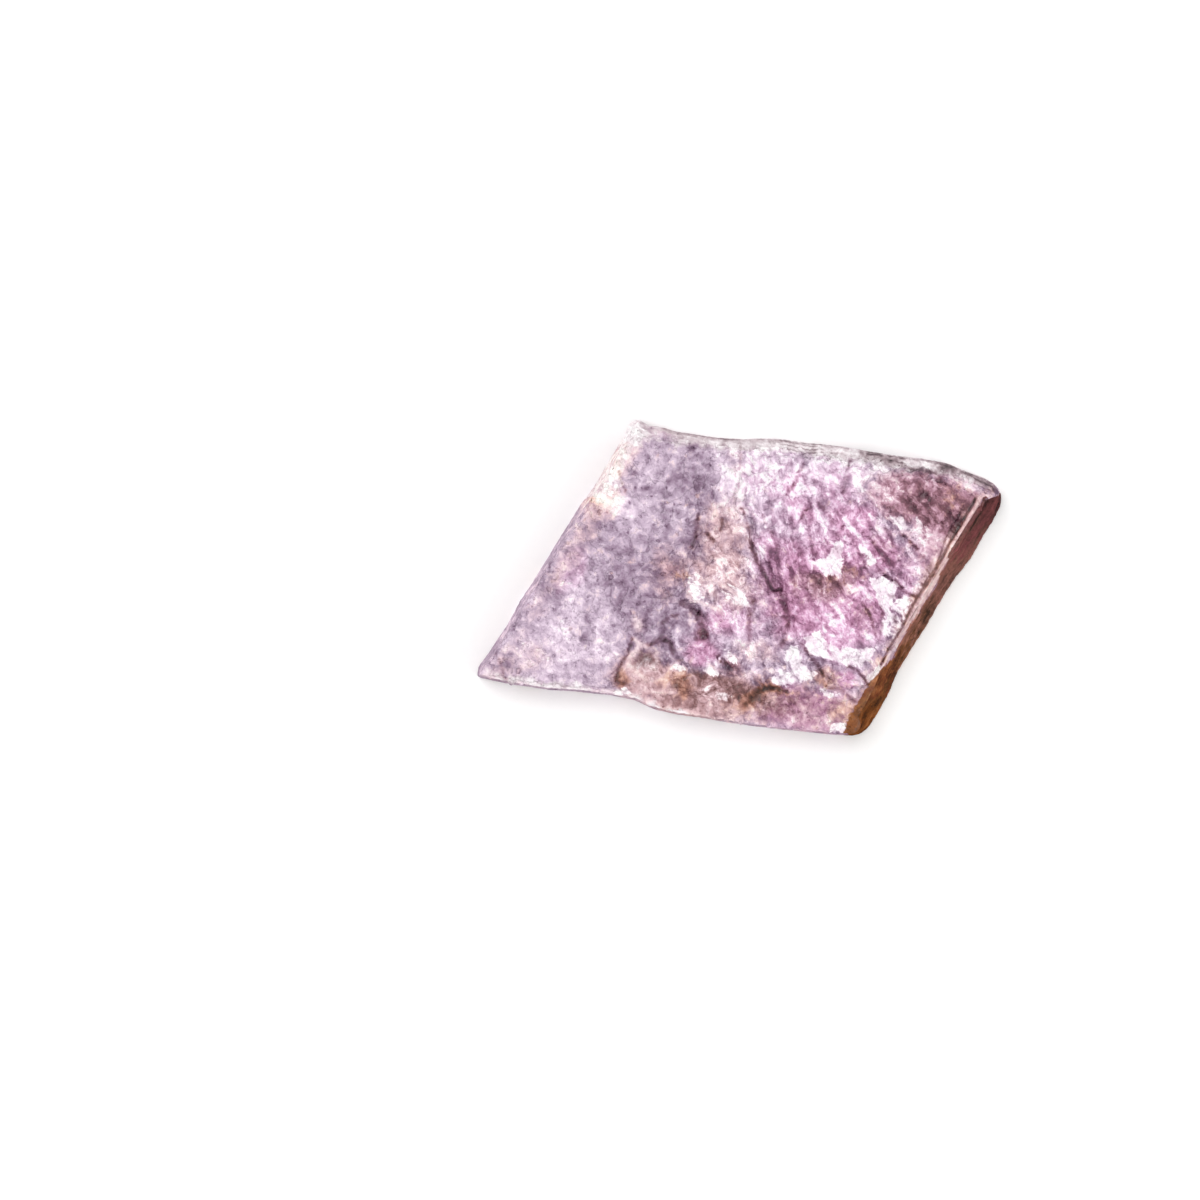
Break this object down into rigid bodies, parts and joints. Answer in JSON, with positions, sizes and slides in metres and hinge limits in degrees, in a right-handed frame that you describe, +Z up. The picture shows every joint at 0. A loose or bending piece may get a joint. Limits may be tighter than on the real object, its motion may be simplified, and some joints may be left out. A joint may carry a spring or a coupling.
{
  "type": "lepidolite mica slab",
  "caption": "Rough rhomboid slab of lilac lepidolite mica lying flat, with stepped cleavage faces and a stained, layered edge.",
  "frame": {"origin": "middle of the slab's box, at the height of its flat resting face", "axes": "+X along the slab's length towards the brown stained side, +Y towards the ledged far side, +Z up through the sheets"},
  "size_m": [0.0847, 0.051, 0.008],
  "materials": {
    "lepidolite": "pearly lilac mica, speckled darker and paler, with white cleavage flashes, orange iron stains and one brown stained side"
  },
  "bodies": {
    "root": {"lepidolite_slab": "lepidolite"}
  },
  "joints": []
}
